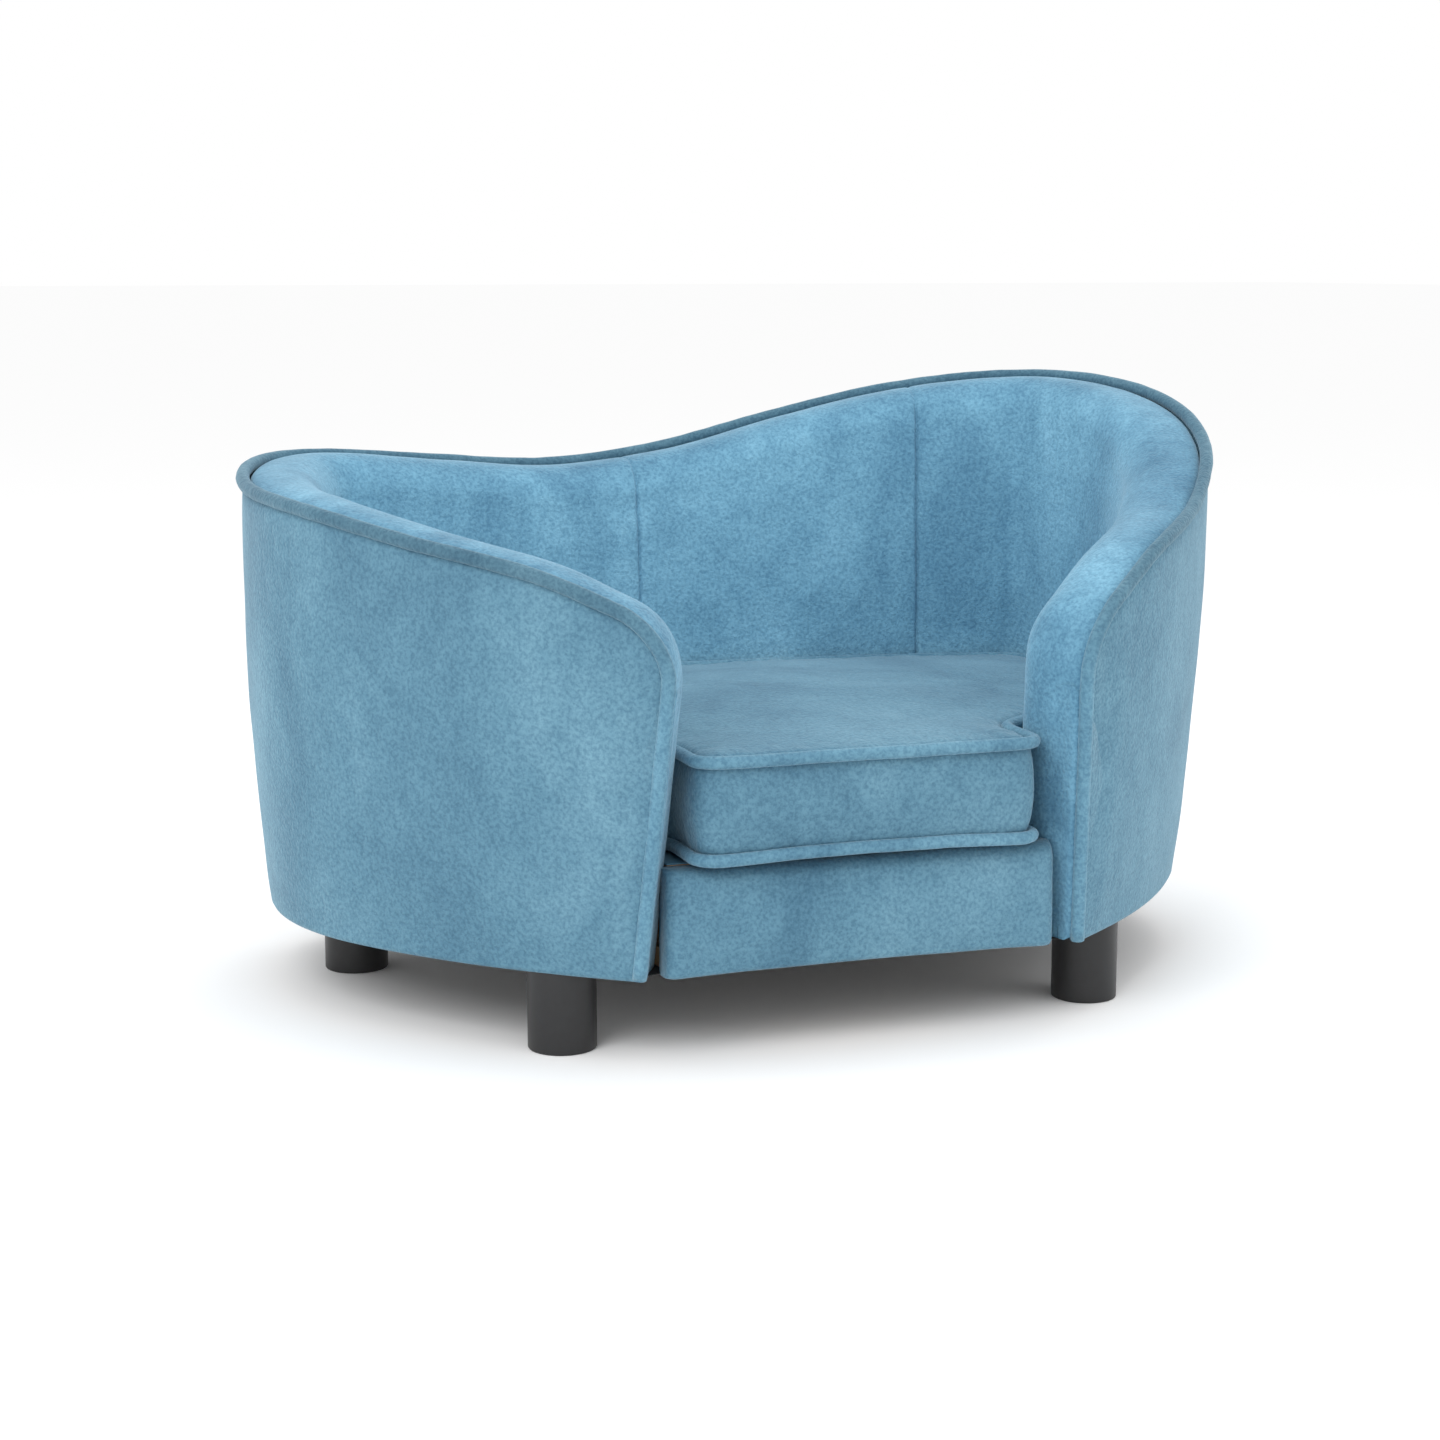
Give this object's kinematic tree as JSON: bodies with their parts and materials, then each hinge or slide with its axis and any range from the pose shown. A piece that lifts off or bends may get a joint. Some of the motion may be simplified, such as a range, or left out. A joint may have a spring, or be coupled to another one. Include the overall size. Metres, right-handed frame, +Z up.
{
  "type": "dog sofa bed",
  "caption": "Low padded tub sofa for a small dog: curved wall higher at one side, loose box cushion, short round legs.",
  "frame": {"origin": "centre of the footprint's bounding box, on the floor under the legs", "axes": "+X to the right as seen from the open front, +Y to the back, +Z up"},
  "size_m": [0.6795, 0.4648, 0.4021],
  "materials": {
    "plush": "short-pile plush, dusty turquoise blue",
    "wadding": "white fibre wadding",
    "foam": "cream upholstery foam",
    "plywood": "bare plywood",
    "leg_black": "matte black",
    "zinc_steel": "zinc plated",
    "lining_cloth": "plain woven lining, blue",
    "dust_cloth": "black non-woven cloth",
    "zip_tape": "woven zip tape with a moulded chain, blue",
    "zip_metal": "painted blue"
  },
  "bodies": {
    "sofa": {"back_inner_cover": "plush", "back_outer_wadding": "wadding", "back_wall_foam": "foam", "back_wall_panel": "plywood", "base_battens": "plywood", "base_board": "plywood", "deck_cloth": "lining_cloth", "dust_cloth": "dust_cloth", "frame_screws": "zinc_steel", "front_left_leg": "leg_black", "front_rail_board": "plywood", "front_rail_cover": "plush", "front_rail_foam": "foam", "front_right_leg": "leg_black", "left_arm_post": "plywood", "left_back_post": "plywood", "left_inner_cover": "plush", "left_outer_wadding": "wadding", "left_wall_foam": "foam", "left_wall_panel": "plywood", "leg_hanger_bolts": "zinc_steel", "leg_tee_nuts": "zinc_steel", "outer_cover": "plush", "rear_left_leg": "leg_black", "rear_right_leg": "leg_black", "right_arm_post": "plywood", "right_back_post": "plywood", "right_inner_cover": "plush", "right_outer_wadding": "wadding", "right_wall_foam": "foam", "right_wall_panel": "plywood", "rim_piping": "plush", "seat_board": "plywood"},
    "cushion": {"cushion_bottom_piping": "plush", "cushion_core": "foam", "cushion_cover": "plush", "cushion_top_piping": "plush", "cushion_zip": "zip_tape"},
    "zip_slider": {"zip_slider": "zip_metal"}
  },
  "joints": [
    {"name": "cushion_lift", "type": "slide", "parent": "sofa", "child": "cushion", "axis": [0, 0, 1], "range_m": [0, 0.3]},
    {"name": "zip_slide", "type": "hinge", "parent": "cushion", "child": "zip_slider", "pos_m": [0, -0.79498, 0.157], "axis": [0, 0, 1], "range_deg": [-11.4, 0]}
  ]
}
